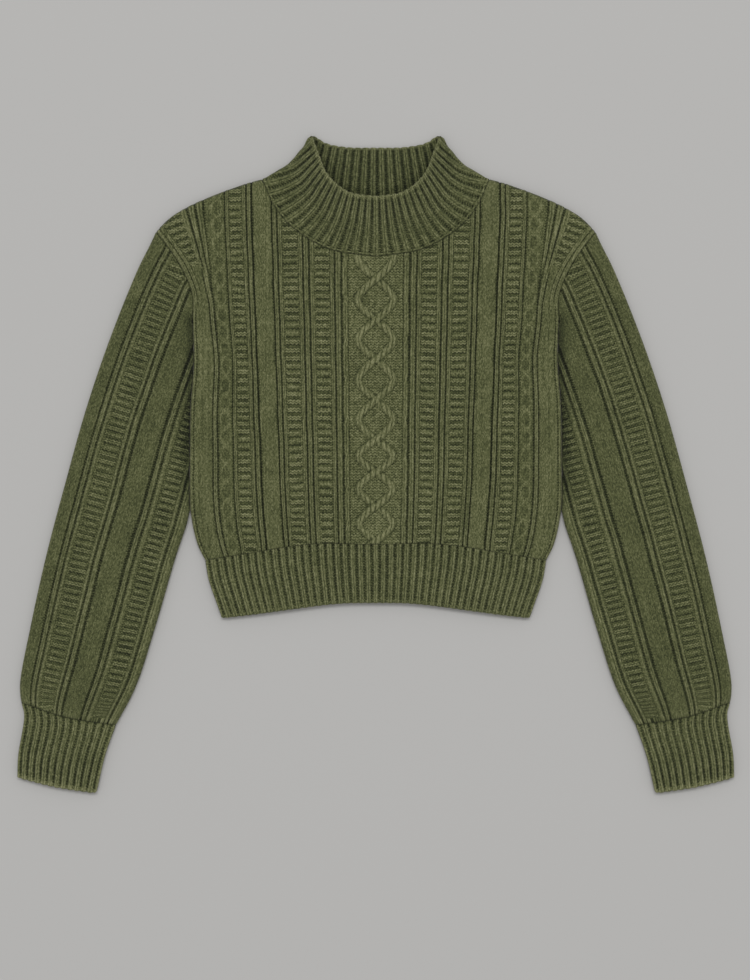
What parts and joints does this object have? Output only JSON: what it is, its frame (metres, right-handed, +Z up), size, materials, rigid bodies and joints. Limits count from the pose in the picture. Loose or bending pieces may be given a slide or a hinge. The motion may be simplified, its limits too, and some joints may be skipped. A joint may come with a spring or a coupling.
{
  "type": "cropped knit sweater laid flat",
  "caption": "Cropped mock-neck cable sweater, laid flat and front up, with long sleeves and ribbed collar, cuffs and hem.",
  "frame": {"origin": "centre of the box of the whole garment, on the surface that it lies on", "axes": "+Z up from the surface to the front of the garment, +Y from the hem to the neck, +X to the right as seen from above, which is the wearer's left side"},
  "size_m": [0.77, 0.7055, 0.0166],
  "materials": {
    "cable_knit": "matt washed cotton, cable and ladder knit",
    "rib_knit": "matt washed cotton, two by two rib"
  },
  "bodies": {
    "root": {"front_panel": "cable_knit", "back_panel": "cable_knit", "sleeve_right": "cable_knit", "sleeve_left": "cable_knit", "collar": "rib_knit", "hem_rib_front": "rib_knit", "hem_rib_back": "rib_knit", "cuff_right": "rib_knit", "cuff_left": "rib_knit"}
  },
  "joints": []
}
